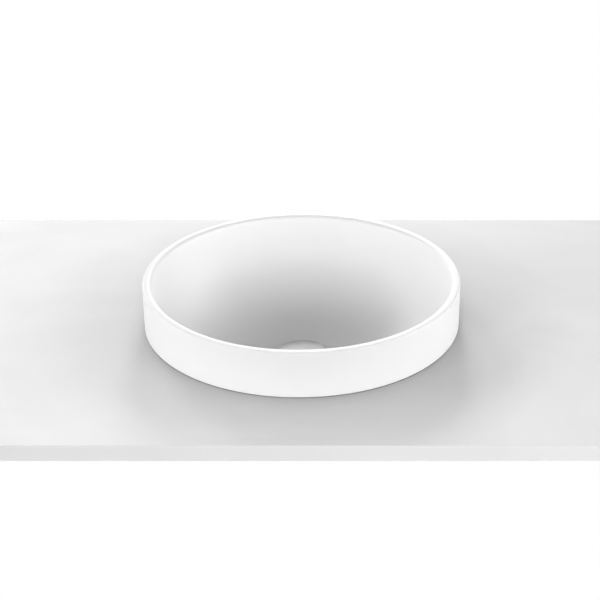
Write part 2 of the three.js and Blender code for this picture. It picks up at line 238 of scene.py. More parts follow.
# The basin: one slip casting of vitreous china, with the ring above the bench, the bowl, and the
# recess and boss for the waste. A matt glaze covers all that shows; the foot and the underside
# stay bare, because the casting stands on them in the kiln.
basin_low, basin_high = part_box("basin_bowl")
basin_radius = basin_high.x
rim_level = basin_high.z
underside_level = basin_low.z
rim_wall = 12 * mm
rim_inner_round = 6 * mm
rim_outer_round = 2 * mm
wall_lean = math.radians(8)
wall_height = 17 * mm
heel_radius = 100 * mm
floor_fall = math.radians(4)
shell_wall = 10.5 * mm
seat_fillet = 3 * mm
foot_chamfer = 1.5 * mm
boss_wall = 15 * mm
boss_margin = 22.3 * mm
boss_blend = 12 * mm
recess_depth = 3.5 * mm
recess_margin = 2.5 * mm
recess_lip = 1 * mm
thread_radius = 20.955 * mm
hole_margin = 1.8 * mm
glaze_round = 0.8 * mm
biscuit_round = 0.5 * mm
bare_slope = math.radians(3)
basin_steps = 256
facet_length = 3 * mm
facet_turn = math.radians(15)
crease = math.radians(35)


def reach(node):
    """A turned CAD node's outer radius, its lowest level and its highest."""
    low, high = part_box(node)
    return high.x, low.z, high.z


def arc(centre, radius, start, end):
    """Points on an arc of a section, close enough that its facets don't show."""
    count = math.ceil(abs(end - start) / min(facet_turn, facet_length / radius))
    angles = [start + (end - start) * i / count for i in range(count + 1)]
    return [centre + radius * Vector((math.cos(angle), math.sin(angle))) for angle in angles]


def rounded(corners):
    """A section of (radius, level) corners; one with a third value gets a round of that radius."""
    outline = []
    for before, corner, after in zip(corners[-1:] + corners[:-1], corners, corners[1:] + corners[:1]):
        place = Vector(corner[:2])
        if len(corner) == 2:
            outline.append(place)
            continue
        back = (Vector(before[:2]) - place).normalized()
        ahead = (Vector(after[:2]) - place).normalized()
        half = back.angle(ahead) / 2
        centre = place + (back + ahead).normalized() * corner[2] / math.sin(half)
        start = place + back * corner[2] / math.tan(half) - centre
        end = place + ahead * corner[2] / math.tan(half) - centre
        count = math.ceil(start.angle(end) / min(facet_turn, facet_length / corner[2]))
        outline += [centre + corner[2] * start.slerp(end, i / count) for i in range(count + 1)]
    return outline


def drawn(name, points):
    """A line drawn from point to point, left in edit mode."""
    bpy.ops.object.select_all(action="DESELECT")
    bpy.ops.mesh.primitive_plane_add(size=mm, location=points[0])
    line = bpy.context.object
    line.name = line.data.name = name
    bpy.ops.object.mode_set(mode="EDIT")
    bpy.ops.mesh.merge(type="CENTER")
    for start, end in zip(points, points[1:]):
        bpy.ops.mesh.extrude_vertices_move(TRANSFORM_OT_translate={"value": end - start})
    bpy.ops.mesh.select_all(action="SELECT")
    return line


def turned(name, section, steps):
    """A closed section spun round the Z axis, with its seam and poles merged and faces out."""
    points = [Vector((radius, 0, level)) for radius, level in section]
    piece = drawn(name, points if section[0][0] == 0 else points + points[:1])
    bpy.ops.mesh.spin(steps=steps, angle=2 * math.pi, center=(0, 0, 0), axis=(0, 0, 1))
    bpy.ops.mesh.select_all(action="SELECT")
    bpy.ops.mesh.remove_doubles(threshold=merge_distance)
    bpy.ops.mesh.normals_make_consistent(inside=False)
    bpy.ops.object.mode_set(mode="OBJECT")
    settle(piece)
    return piece


def smoothed(piece):
    """Smooth shading that stops at real edges and leaves flat faces flat."""
    settle(piece)
    bpy.ops.object.shade_smooth_by_angle(angle=crease)
    finish_with(piece, "WEIGHTED_NORMAL", keep_sharp=True)


def matt_glaze():
    """Matt sanitary glaze, sprayed and fired: soft sheen, a satin grain and faint waves."""
    material, tree, shader, place = new_material("matt_white_glaze")
    wave = add(tree, "TexNoise", {"Vector": place, "Scale": 1 / (45 * mm), "Detail": 2})
    grain = add(tree, "TexNoise", {"Vector": place, "Scale": 1 / (1.4 * mm), "Detail": 2, "Roughness": 0.6})
    tint = add(tree, "MixRGB", {"Fac": wave.outputs["Fac"], "Color1": linear("#ececec"),
                                "Color2": linear("#eeeeee")})
    sheen = add(tree, "MapRange", {"Value": grain.outputs["Fac"], "To Min": 0.41, "To Max": 0.49})
    waves = add(tree, "Bump", {"Height": wave.outputs["Fac"], "Distance": 0.12 * mm})
    bump = add(tree, "Bump", {"Height": grain.outputs["Fac"], "Distance": 0.012 * mm,
                              "Normal": waves.outputs["Normal"]})
    feed(tree, shader, {"Base Color": tint.outputs[0], "Roughness": sheen.outputs[0], "IOR": 1.5,
                        "Normal": bump.outputs["Normal"]})
    return material


def biscuit():
    """Bare vitreous china: warm grey-white, dry and sandy, with the raised line that the two
    halves of the plaster mould leave."""
    material, tree, shader, place = new_material("bare_vitreous_china")
    sand = add(tree, "TexNoise", {"Vector": place, "Scale": 1 / (0.9 * mm), "Detail": 4, "Roughness": 0.7})
    blush = add(tree, "TexNoise", {"Vector": place, "Scale": 1 / (35 * mm), "Detail": 3})
    tint = add(tree, "MixRGB", {"Fac": blush.outputs["Fac"], "Color1": linear("#dedad2"),
                                "Color2": linear("#cfc8bc")})
    speck = add(tree, "MapRange", {"Value": sand.outputs["Fac"], "From Min": 0.62, "From Max": 0.78,
                                   "To Max": 0.35})
    tint = add(tree, "MixRGB", {"Fac": speck.outputs[0], "Color1": tint.outputs[0],
                                "Color2": linear("#a89f91")})
    across = add(tree, "SeparateXYZ", {"Vector": place})
    off_seam = add(tree, "Math", {0: across.outputs["X"]}, operation="ABSOLUTE")
    seam = add(tree, "MapRange", {"Value": off_seam.outputs[0], "From Min": 0.2 * mm, "From Max": 0.9 * mm,
                                  "To Min": 1, "To Max": 0})
    rough = add(tree, "Bump", {"Height": sand.outputs["Fac"], "Distance": 0.15 * mm})
    line = add(tree, "Bump", {"Height": seam.outputs[0], "Distance": 0.4 * mm,
                              "Normal": rough.outputs["Normal"]})
    feed(tree, shader, {"Base Color": tint.outputs[0], "Roughness": 0.9, "Normal": line.outputs["Normal"]})
    return material


cap_radius = reach("plug_cap")[0]
hole_radius = thread_radius + hole_margin
recess_radius = cap_radius + recess_margin
lip_radius = recess_radius + recess_lip
boss_radius = thread_radius + boss_margin
recess_level = underside_level + boss_wall
floor_level = recess_level + recess_depth
wall_normal = Vector((-math.cos(wall_lean), math.sin(wall_lean)))
rim_round_centre = Vector((basin_radius - rim_wall + rim_inner_round, rim_level - rim_inner_round))
wall_top = rim_round_centre + rim_inner_round * wall_normal
wall_foot = wall_top - wall_height * Vector((math.tan(wall_lean), 1))
rim_corner = wall_top.x + (rim_level - wall_top.y) * math.tan(wall_lean)
heel_centre = wall_foot + heel_radius * wall_normal
outer_heel = heel_radius + shell_wall
seat_angle = math.asin((-seat_fillet - heel_centre.y) / outer_heel)
inside = arc(heel_centre, heel_radius, -wall_lean, floor_fall - math.pi / 2)
outside = arc(heel_centre, outer_heel, floor_fall - math.pi / 2, seat_angle)
boss_top = outside[0].y - (outside[0].x - boss_radius) * math.tan(floor_fall)
seat_inner = outside[-1].x + seat_fillet

basin = turned("ceramic_basin", rounded([
    (hole_radius, recess_level, glaze_round),
    (hole_radius, underside_level, biscuit_round),
    (boss_radius, underside_level, biscuit_round),
    (boss_radius + boss_top - underside_level, boss_top, boss_blend),
    *outside,
    (seat_inner, 0, biscuit_round),
    (basin_radius - foot_chamfer, 0, biscuit_round),
    (basin_radius, foot_chamfer, glaze_round),
    (basin_radius, rim_level, rim_outer_round),
    (rim_corner, rim_level, rim_inner_round),
    *inside,
    (lip_radius, floor_level, glaze_round),
    (recess_radius, floor_level - recess_lip, recess_lip / 2),
    (recess_radius, recess_level, glaze_round),
]), basin_steps)
smoothed(basin)
basin.data.materials.append(matt_glaze())
basin.data.materials.append(biscuit())
for face in basin.data.polygons:
    in_hole = math.hypot(face.center.x, face.center.y) < hole_radius + biscuit_round
    below_recess = face.center.z < recess_level - glaze_round
    underneath = face.center.z < biscuit_round and face.normal.z < -math.sin(bare_slope)
    face.material_index = 1 if in_hole and below_recess or underneath else 0
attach(basin, "basin")
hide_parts("basin_bowl")


# The waste fitting: a brass casting, turned, threaded G 1 1/4 and chrome plated. Its flange sits
# in the recess, its tube hangs through the hole, and three arms carry the hub for the cartridge.
flange_radius, tube_end, flange_top = reach("waste_body")
flange_thickness = 2 * mm
flange_round = 0.6 * mm
edge_break = 0.2 * mm
edge_segments = 3
tube_wall = 2.75 * mm
tube_chamfer = 1 * mm
throat_depth = 4 * mm
throat_flare = 2 * mm
throat_round = 3 * mm
hub_drop = 26.6 * mm
hub_height = 8 * mm
hub_wall = 3.3 * mm
hub_round = 0.8 * mm
arm_count = 3
arm_start = math.pi / 2
arm_width = 3 * mm
arm_height = 6 * mm
arm_round = 0.6 * mm
seat_gap = 0.3 * mm
barrel_radius = 7 * mm
ring_cord = 1.5 * mm
waste_steps = 128
rows_per_turn = 9
pipe_pitch = 2.309 * mm
pipe_depth = 1.479 * mm
pipe_run_out = 2.5 * mm
fine_pitch = 1 * mm
fine_depth = 0.613 * mm
wall_tolerance = 0.02 * mm


def wall_rows(radius, start, end, pitch):
    """Closely spaced points down a straight wall that a thread is cut into."""
    count = math.ceil(abs(end - start) / pitch * rows_per_turn)
    return [(radius, start + (end - start) * i / count) for i in range(count + 1)]


def cut_thread(piece, radius, bottom, top, pitch, depth):
    """Winds a right-hand thread into a plain round wall, running out at both ends."""
    for vertex in piece.data.vertices:
        out = Vector((vertex.co.x, vertex.co.y, 0))
        if abs(out.length - radius) > wall_tolerance or not bottom < vertex.co.z < top:
            continue
        turn = vertex.co.z / pitch - math.atan2(out.y, out.x) / (2 * math.pi)
        run_out = min(1, (vertex.co.z - bottom) / pitch, (top - vertex.co.z) / pitch)
        vertex.co -= out.normalized() * depth * run_out * (1 - math.cos(2 * math.pi * turn)) / 2
    finish_with(piece, "WEIGHTED_NORMAL", keep_sharp=True)


def block(name, low, high, edge):
    """A box from its lowest corner to its highest, with its edges rounded."""
    low, high = Vector(low), Vector(high)
    bpy.ops.object.select_all(action="DESELECT")
    bpy.ops.mesh.primitive_cube_add(size=1, location=(low + high) / 2, scale=high - low)
    piece = bpy.context.object
    piece.name = piece.data.name = name
    settle(piece)
    finish_with(piece, "BEVEL", width=edge, segments=edge_segments)
    return piece


def around(piece, count, start=0):
    """Turns a piece to a start angle, and spreads copies of it evenly round the Z axis."""
    piece.rotation_euler.z = start
    settle(piece)
    copies = [piece]
    for i in range(1, count):
        pick(piece)
        bpy.ops.object.duplicate()
        copies.append(bpy.context.object)
        copies[-1].rotation_euler.z = 2 * math.pi * i / count
        settle(copies[-1])
    return copies


def lathe_marks(tree, place, spacing, height):
    """The fine rings that a lathe tool leaves, read along the radius and the axis together."""
    parts = add(tree, "SeparateXYZ", {"Vector": place})
    flat = add(tree, "CombineXYZ", {"X": parts.outputs["X"], "Y": parts.outputs["Y"]})
    radius = add(tree, "VectorMath", {0: flat.outputs[0]}, operation="LENGTH")
    along = add(tree, "Math", {0: radius.outputs["Value"], 1: parts.outputs["Z"]}, operation="ADD")
    rings = add(tree, "TexNoise", {"W": along.outputs[0], "Scale": 1 / spacing, "Detail": 2},
                noise_dimensions="1D")
    return add(tree, "Bump", {"Height": rings.outputs["Fac"], "Distance": height}).outputs["Normal"]


def chrome_plate():
    """Bright chrome plate on polished brass: a near mirror, with hairlines round the axis and a
    faint bloom of water spots."""
    material, tree, shader, place = new_material("chrome_plate")
    spots = add(tree, "TexNoise", {"Vector": place, "Scale": 1 / (4 * mm), "Detail": 3})
    sheen = add(tree, "MapRange", {"Value": spots.outputs["Fac"], "To Min": 0.06, "To Max": 0.12})
    # the real hairlines are too fine to show, so they are drawn coarser
    hairlines = lathe_marks(tree, place, spacing=0.6 * mm, height=0.001 * mm)
    feed(tree, shader, {"Base Color": linear("#cbcbcb"), "Metallic": 1, "Roughness": sheen.outputs[0],
                        "Normal": hairlines})
    return material


tube_bore = thread_radius - tube_wall
flange_bottom = flange_top - flange_thickness
thread_top = flange_bottom - pipe_run_out
barrel_bore = barrel_radius + seat_gap
hub_top = flange_top - hub_drop
hub_bottom = hub_top - hub_height
hub_radius = barrel_bore + hub_wall
pocket_radius = barrel_bore + ring_cord + seat_gap
pocket_level = hub_top - ring_cord - seat_gap

waste = turned("waste_fitting", rounded([
    (tube_bore, tube_end, edge_break),
    (thread_radius - tube_chamfer, tube_end),
    *wall_rows(thread_radius, tube_end + tube_chamfer, thread_top, pipe_pitch),
    (thread_radius, flange_bottom),
    (flange_radius, flange_bottom, edge_break),
    (flange_radius, flange_top, flange_round),
    (tube_bore + throat_flare, flange_top, edge_break),
    (tube_bore, flange_top - throat_depth, throat_round),
]), waste_steps)
hub = turned("hub", rounded([
    (hub_radius, hub_bottom, hub_round),
    (hub_radius, hub_top, edge_break),
    (pocket_radius, hub_top, edge_break),
    (pocket_radius, pocket_level),
    *wall_rows(barrel_bore, pocket_level, hub_bottom, fine_pitch),
]), waste_steps)
arm = block("arm",
            ((pocket_radius + hub_radius) / 2, -arm_width / 2, hub_top - seat_gap - arm_height),
            (tube_bore + tube_wall / 2, arm_width / 2, hub_top - seat_gap), arm_round)
combine(waste, "UNION", hub, *around(arm, arm_count, arm_start))
smoothed(waste)
cut_thread(waste, thread_radius, tube_end + tube_chamfer, thread_top, pipe_pitch, pipe_depth)
cut_thread(waste, barrel_bore, hub_bottom, pocket_level, fine_pitch, fine_depth)
chrome = chrome_plate()
waste.data.materials.append(chrome)
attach(waste, "basin")
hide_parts("waste_body")


# The flange washer: a flat ring moulded in rubber, with fine grooves that leave ribs on both
# faces. The flange squeezes it on to the recess, so that no water creeps into the hole.
gasket_outer, gasket_bottom, gasket_top = reach("flange_gasket")
gasket_margin = 1.2 * mm
rubber_round = 0.3 * mm
rib_depth = 0.2 * mm
groove_share = 0.3  # half a groove's width, as a share of the grooves' spacing
gasket_grooves = 5
rubber_steps = 160


def ribbed(start, end, level, depth, grooves):
    """Points along a flat face with ring grooves sunk in it, from one radius to another."""
    spacing = (end - start) / (grooves + 1)
    outline = []
    for i in range(1, grooves + 1):
        middle = start + spacing * i
        outline += [(middle - groove_share * spacing, level), (middle, level + depth),
                    (middle + groove_share * spacing, level)]
    return outline


def moulded_rubber():
    """Moulded EPDM rubber: near black and dull, with the fine grit of an eroded steel mould and a
    grey bloom where it has lain in store."""
    material, tree, shader, place = new_material("moulded_rubber")
    grit = add(tree, "TexNoise", {"Vector": place, "Scale": 1 / (0.35 * mm), "Detail": 2})
    bloom = add(tree, "TexNoise", {"Vector": place, "Scale": 1 / (9 * mm), "Detail": 4})
    tint = add(tree, "MixRGB", {"Fac": bloom.outputs["Fac"], "Color1": linear("#1d1d1e"),
                                "Color2": linear("#343433")})
    sheen = add(tree, "MapRange", {"Value": bloom.outputs["Fac"], "To Min": 0.58, "To Max": 0.8})
    bump = add(tree, "Bump", {"Height": grit.outputs["Fac"], "Distance": 0.03 * mm})
    feed(tree, shader, {"Base Color": tint.outputs[0], "Roughness": sheen.outputs[0], "IOR": 1.52,
                        "Normal": bump.outputs["Normal"]})
    return material


gasket_inner = hole_radius + gasket_margin
gasket = turned("flange_washer", rounded([
    (gasket_inner, gasket_bottom, rubber_round),
    *ribbed(gasket_inner, gasket_outer, gasket_bottom, rib_depth, gasket_grooves),
    (gasket_outer, gasket_bottom, rubber_round),
    (gasket_outer, gasket_top, rubber_round),
    *ribbed(gasket_outer, gasket_inner, gasket_top, -rib_depth, gasket_grooves),
    (gasket_inner, gasket_top, rubber_round),
]), rubber_steps)
smoothed(gasket)
rubber = moulded_rubber()
gasket.data.materials.append(rubber)
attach(gasket, "basin")
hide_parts("flange_gasket")


# The tapered seal: a thick rubber ring, pushed up the tube from below until its collar fills the
# hole and its shoulder seals against the boss. Two grooves round the shoulder part it into lips.
seal_outer, seal_bottom, seal_top = reach("taper_seal")
seal_flare = 1 * mm
seal_collar = 3 * mm
seal_round = 0.8 * mm
seal_grooves = 2
seal_lip = 0.6 * mm

thread_bore = thread_radius + seat_gap
collar_radius = hole_radius - seat_gap
shoulder_level = seal_top - seal_collar
seal = turned("tapered_seal", rounded([
    (thread_bore, seal_bottom, rubber_round),
    (seal_outer, seal_bottom, seal_round),
    (seal_outer - seal_flare, shoulder_level, seal_round),
    *ribbed(seal_outer - seal_flare, collar_radius, shoulder_level, -seal_lip, seal_grooves),
    (collar_radius, shoulder_level, rubber_round),
    (collar_radius, seal_top, rubber_round),
    (thread_bore, seal_top, rubber_round),
]), rubber_steps)
smoothed(seal)
seal.data.materials.append(rubber)
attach(seal, "basin")
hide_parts("taper_seal")


# The sliding washer: a stiff acetal ring between the seal and the nut, so that the nut turns on it
# and doesn't drag the rubber round. The mould's gate leaves a sunk dot on its underside.
washer_outer, washer_bottom, washer_top = reach("slip_washer")
washer_round = 0.25 * mm
gate_radius = 1.4 * mm
gate_depth = 0.2 * mm
gate_steps = 32


def moulded_acetal():
    """Moulded acetal: waxy off-white, a little glossy, with faint flow marks from the gate."""
    material, tree, shader, place = new_material("moulded_acetal")
    flow = add(tree, "TexNoise", {"Vector": place, "Scale": 1 / (7 * mm), "Detail": 3, "Distortion": 1.5})
    grain = add(tree, "TexNoise", {"Vector": place, "Scale": 1 / (0.25 * mm), "Detail": 1})
    tint = add(tree, "MixRGB", {"Fac": flow.outputs["Fac"], "Color1": linear("#e6e3d8"),
                                "Color2": linear("#f0eee6")})
    sheen = add(tree, "MapRange", {"Value": flow.outputs["Fac"], "To Min": 0.32, "To Max": 0.48})
    bump = add(tree, "Bump", {"Height": grain.outputs["Fac"], "Distance": 0.006 * mm})
    feed(tree, shader, {"Base Color": tint.outputs[0], "Roughness": sheen.outputs[0], "IOR": 1.48,
                        "Normal": bump.outputs["Normal"]})
    return material


def gate_dot(radius, level):
    """A short plug that cuts a sunk gate mark, centred on a level, at a radius from the axis."""
    bpy.ops.object.select_all(action="DESELECT")
    bpy.ops.mesh.primitive_cylinder_add(vertices=gate_steps, radius=gate_radius, depth=2 * gate_depth,
                                        location=(radius, 0, level))
    return bpy.context.object


washer = turned("sliding_washer", rounded([
    (thread_bore, washer_bottom, washer_round),
    (washer_outer, washer_bottom, washer_round),
    (washer_outer, washer_top, washer_round),
    (thread_bore, washer_top, washer_round),
]), rubber_steps)
combine(washer, "DIFFERENCE", gate_dot((thread_bore + washer_outer) / 2, washer_bottom))
smoothed(washer)
acetal = moulded_acetal()
washer.data.materials.append(acetal)
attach(washer, "basin")
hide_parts("slip_washer")


# The hexagon back nut: cut from brass bar, faced, chamfered and tapped G 1 1/4. It runs up the
# tube and clamps the washer, the seal and the flange on the basin.
nut_across = 55 * mm
nut_bottom, nut_top = reach("back_nut")[1:]
flat_ease = 0.4 * mm
flat_overrun = 2 * mm


def hexagon(name, across, low, high, bore, steps):
    """A ring turned with chamfered rims, then milled to six flats with a corner on +X. Bore is
    its inner section, from top to bottom."""
    corner = across / math.sqrt(3)
    chamfer = corner - across / 2
    ring = turned(name, [
        (corner - chamfer, low), (corner, low + chamfer / 2),
        (corner, high - chamfer / 2), (corner - chamfer, high), *bore,
    ], steps)
    bpy.ops.object.select_all(action="DESELECT")
    bpy.ops.mesh.primitive_cylinder_add(
        vertices=6, radius=corner, depth=high - low + 2 * flat_overrun,
        location=(0, 0, (low + high) / 2), rotation=(0, 0, math.pi / 6))
    flats = bpy.context.object
    settle(flats)
    finish_with(flats, "BEVEL", width=flat_ease, segments=edge_segments)
    combine(ring, "INTERSECT", flats)
    return ring


def turned_brass():
    """Brass bar, turned and left uncoated: warm yellow with fine tool rings, and browner patches
    where hands have tarnished it."""
    material, tree, shader, place = new_material("turned_brass")
    tarnish = add(tree, "TexNoise", {"Vector": place, "Scale": 1 / (8 * mm), "Detail": 5})
    stain = add(tree, "MapRange", {"Value": tarnish.outputs["Fac"], "From Min": 0.4, "From Max": 0.75})
    tint = add(tree, "MixRGB", {"Fac": stain.outputs[0], "Color1": linear("#d6b56a"),
                                "Color2": linear("#b08f4c")})
    sheen = add(tree, "MapRange", {"Value": stain.outputs[0], "To Min": 0.24, "To Max": 0.4})
    tool_rings = lathe_marks(tree, place, spacing=0.22 * mm, height=0.008 * mm)
    feed(tree, shader, {"Base Color": tint.outputs[0], "Metallic": 1, "Roughness": sheen.outputs[0],
                        "Normal": tool_rings})
    return material


nut = hexagon("hexagon_back_nut", nut_across, nut_bottom, nut_top,
              wall_rows(thread_bore, nut_top, nut_bottom, pipe_pitch), waste_steps)
smoothed(nut)
cut_thread(nut, thread_bore, nut_bottom, nut_top, pipe_pitch, pipe_depth)
brass = turned_brass()
nut.data.materials.append(brass)
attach(nut, "basin")
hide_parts("back_nut")


# The cartridge barrel: a brass sleeve with a hexagon head, screwed down into the hub. Four steep
# helical tracks inside it steer the cam, and the spring works in the wider chamber below them.
barrel_bottom, barrel_top = reach("cartridge_sleeve")[1:]
bush_level = reach("guide_bush")[1]
cam_level = reach("cam_rotor")[1]
head_across = 18 * mm
head_height = 4 * mm
head_root = 6.2 * mm
chamber_radius = 4.7 * mm
bush_wall = 1.2 * mm
barrel_thread_lead = 2 * mm
barrel_thread_relief = 0.6 * mm
barrel_round = 0.4 * mm
lug_count = 4
lug_reach = 1 * mm
lug_width = 1.6 * mm
lug_height = 3 * mm
lug_root = 3 * mm
lug_turn = math.radians(45)
plug_travel = 9 * mm
twist_step = 0.75 * mm
track_overrun = 1 * mm
barrel_steps = 96


def twisted_bar(name, inner, outer, width, low, high):
    """A bar along X that turns round the axis as it climbs, in step with the plug's travel."""
    bpy.ops.object.select_all(action="DESELECT")
    bpy.ops.mesh.primitive_plane_add(size=1, location=((inner + outer) / 2, 0, low))
    bar = bpy.context.object
    bar.name = bar.data.name = name
    bar.scale = (outer - inner, width, 1)
    settle(bar)
    bar.rotation_euler.z = (low - cam_level) * lug_turn / plug_travel
    settle(bar)
    count = math.ceil((high - low) / twist_step)
    climb = (high - low) / count
    bpy.ops.object.mode_set(mode="EDIT")
    bpy.ops.mesh.select_all(action="SELECT")
    for _ in range(count):
        bpy.ops.mesh.extrude_region_move(TRANSFORM_OT_translate={"value": (0, 0, climb)})
        bpy.ops.transform.rotate(value=-climb * lug_turn / plug_travel, orient_axis="Z",
                                 center_override=(0, 0, 0))
    bpy.ops.mesh.select_all(action="SELECT")
    bpy.ops.mesh.normals_make_consistent(inside=False)
    bpy.ops.object.mode_set(mode="OBJECT")
    settle(bar)
    return bar


lug_radius = chamber_radius - seat_gap + lug_reach
track_radius = lug_radius + seat_gap
track_bottom = cam_level - seat_gap
track_top = track_bottom + plug_travel + lug_height + 2 * seat_gap
head_bottom = hub_top + seat_gap
bush_seat = chamber_radius + bush_wall
barrel_thread_bottom = hub_bottom - barrel_thread_lead
barrel_thread_top = head_bottom - barrel_thread_relief

barrel = turned("cartridge_barrel", rounded([
    (track_radius, barrel_bottom, edge_break),
    (barrel_radius, barrel_bottom, barrel_round),
    *wall_rows(barrel_radius, barrel_thread_bottom, barrel_thread_top, fine_pitch),
    (barrel_radius, barrel_top, barrel_round),
    (bush_seat, barrel_top, edge_break),
    (bush_seat, bush_level),
    (chamber_radius, bush_level, edge_break),
    (chamber_radius, track_bottom),
    (track_radius, track_bottom),
]), barrel_steps)
head = hexagon("barrel_head", head_across, head_bottom, head_bottom + head_height,
               [(head_root, head_bottom + head_height), (head_root, head_bottom)], barrel_steps)
combine(barrel, "UNION", head)
track = twisted_bar("track", lug_root, track_radius, lug_width + 2 * seat_gap,
                    track_bottom - track_overrun, track_top)
combine(barrel, "DIFFERENCE", *around(track, lug_count))
smoothed(barrel)
cut_thread(barrel, barrel_radius, barrel_thread_bottom, barrel_thread_top, fine_pitch, fine_depth)
barrel.data.materials.append(brass)
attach(barrel, "basin")
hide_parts("cartridge_sleeve")


# The barrel's O-ring: a moulded rubber ring, squeezed in the hub's pocket under the hexagon head,
# with the fine flash line of its two-part mould round the inside and the outside.
flash_height = 0.06 * mm
flash_turn = math.radians(4)
ring_steps = 96

ring_centre = Vector((barrel_bore + ring_cord / 2, hub_top - ring_cord / 2))
flash = Vector((ring_cord / 2 + flash_height, 0))
ring = turned("barrel_o_ring", [
    ring_centre + flash,
    *arc(ring_centre, ring_cord / 2, flash_turn, math.pi - flash_turn),
    ring_centre - flash,
    *arc(ring_centre, ring_cord / 2, math.pi + flash_turn, 2 * math.pi - flash_turn),
], ring_steps)
smoothed(ring)
ring.data.materials.append(rubber)
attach(ring, "basin")
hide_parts("cartridge_o_ring")


# The plunger bush: an acetal ring pressed into the barrel's top. The push rod slides in it, and
# two grooves in its bore hold the silicone grease.
bush_radius, bush_bottom, bush_top = reach("guide_bush")
rod_radius = 3 * mm
groove_width = 0.8 * mm
groove_depth = 0.35 * mm
groove_shares = (2 / 3, 1 / 3)

rod_bore = rod_radius + seat_gap
bush_bore = []
for share in groove_shares:
    middle = bush_bottom + share * (bush_top - bush_bottom)
    bush_bore += [
        (rod_bore, middle + groove_width / 2), (rod_bore + groove_depth, middle + groove_width / 4),
        (rod_bore + groove_depth, middle - groove_width / 4), (rod_bore, middle - groove_width / 2),
    ]
bush = turned("plunger_bush", rounded([
    (rod_bore, bush_bottom, washer_round),
    (bush_radius, bush_bottom, barrel_round),
    (bush_radius, bush_top, washer_round),
    (rod_bore, bush_top, washer_round),
    *bush_bore,
]), barrel_steps)
smoothed(bush)
bush.data.materials.append(acetal)
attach(bush, "basin")
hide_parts("guide_bush")


# The indexing cam: a small drum moulded in red nylon, with four twisted lugs that ride in the
# barrel's tracks, and eight notches on top that step it round at each press.
cam_radius = chamber_radius - seat_gap
cam_top = reach("cam_rotor")[2]
spigot_radius = 1.6 * mm
notch_count = 8
notch_edge = 0.9 * mm  # of the square bar that cuts each notch, laid on its edge
lug_ease = 0.12 * mm
lug_segments = 2


def moulded_nylon():
    """Moulded nylon, dyed red: satin, with the grain of the mould and paler flow lines."""
    material, tree, shader, place = new_material("red_moulded_nylon")
    flow = add(tree, "TexNoise", {"Vector": place, "Scale": 1 / (2.5 * mm), "Detail": 3, "Distortion": 2})
    grain = add(tree, "TexNoise", {"Vector": place, "Scale": 1 / (0.15 * mm), "Detail": 1})
    tint = add(tree, "MixRGB", {"Fac": flow.outputs["Fac"], "Color1": linear("#a32d22"),
                                "Color2": linear("#b8402f")})
    bump = add(tree, "Bump", {"Height": grain.outputs["Fac"], "Distance": 0.006 * mm})
    feed(tree, shader, {"Base Color": tint.outputs[0], "Roughness": 0.42, "IOR": 1.53,
                        "Normal": bump.outputs["Normal"]})
    return material


cam = turned("indexing_cam", rounded([
    (spigot_radius + seat_gap, cam_level, edge_break),
    (cam_radius, cam_level, edge_break),
    (cam_radius, cam_top, edge_break),
    (spigot_radius + seat_gap, cam_top, edge_break),
]), barrel_steps)
lug = twisted_bar("lug", lug_root, lug_radius, lug_width, cam_level, cam_level + lug_height)
finish_with(lug, "BEVEL", width=lug_ease, segments=lug_segments, limit_method="ANGLE", angle_limit=crease)
combine(cam, "UNION", *around(lug, lug_count))
notch = block("notch", (0, -notch_edge / 2, -notch_edge / 2),
              (2 * cam_radius, notch_edge / 2, notch_edge / 2), lug_ease)
notch.rotation_euler.x = math.pi / 4
settle(notch)
notch.location.z = cam_top
combine(cam, "DIFFERENCE", *around(notch, notch_count))
smoothed(cam)
cam.data.materials.append(moulded_nylon())
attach(cam, "cam")
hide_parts("cam_rotor")


# The coil spring: hard stainless wire, coiled with its end turns closed and ground flat. It lifts
# the cam and the plug.
spring_bottom, spring_top = reach("return_spring")[1:]
spring_wire = 0.9 * mm
spring_turns = 8
spring_closed = 1.25  # turns at each end that lie flat
spring_turn_steps = 28
closed_spacing = 0.94 * mm  # the wire and a hair's gap
ground_share = 1 / 4  # of the wire's thickness, at either end
wire_resolution = 4  # gives the wire 12 sides


def stainless_steel():
    """Stainless steel, drawn or turned: grey and satin, with fine rings from the tool or the die."""
    material, tree, shader, place = new_material("stainless_steel")
    cloud = add(tree, "TexNoise", {"Vector": place, "Scale": 1 / (3 * mm), "Detail": 3})
    sheen = add(tree, "MapRange", {"Value": cloud.outputs["Fac"], "To Min": 0.2, "To Max": 0.34})
    fine_rings = lathe_marks(tree, place, spacing=0.15 * mm, height=0.004 * mm)
    feed(tree, shader, {"Base Color": linear("#bdbdbb"), "Metallic": 1, "Roughness": sheen.outputs[0],
                        "Normal": fine_rings})
    return material


spring_radius = cam_radius - spring_wire
first_level = spring_bottom + (1 / 2 - ground_share) * spring_wire
last_level = spring_top - (1 / 2 - ground_share) * spring_wire
closed_climb = spring_closed * closed_spacing
open_climb = last_level - first_level - 2 * closed_climb
wire = []
for i in range(spring_turns * spring_turn_steps + 1):
    turn = i / spring_turn_steps
    open_share = min(1, max(0, (turn - spring_closed) / (spring_turns - 2 * spring_closed)))
    closed = min(turn, spring_closed) + max(0, turn - spring_turns + spring_closed)
    wire.append(Vector((spring_radius * math.cos(2 * math.pi * turn),
                        spring_radius * math.sin(2 * math.pi * turn),
                        first_level + closed * closed_spacing + open_share * open_climb)))
spring = drawn("coil_spring", wire)
bpy.ops.object.mode_set(mode="OBJECT")
settle(spring)
bpy.ops.object.convert(target="CURVE")
spring = bpy.context.object
spring.data.bevel_depth = spring_wire / 2
spring.data.bevel_resolution = wire_resolution
spring.data.use_fill_caps = True
bpy.ops.object.convert(target="MESH")
spring = bpy.context.object
bpy.ops.object.mode_set(mode="EDIT")
bpy.ops.mesh.select_all(action="SELECT")
bpy.ops.mesh.remove_doubles(threshold=merge_distance)
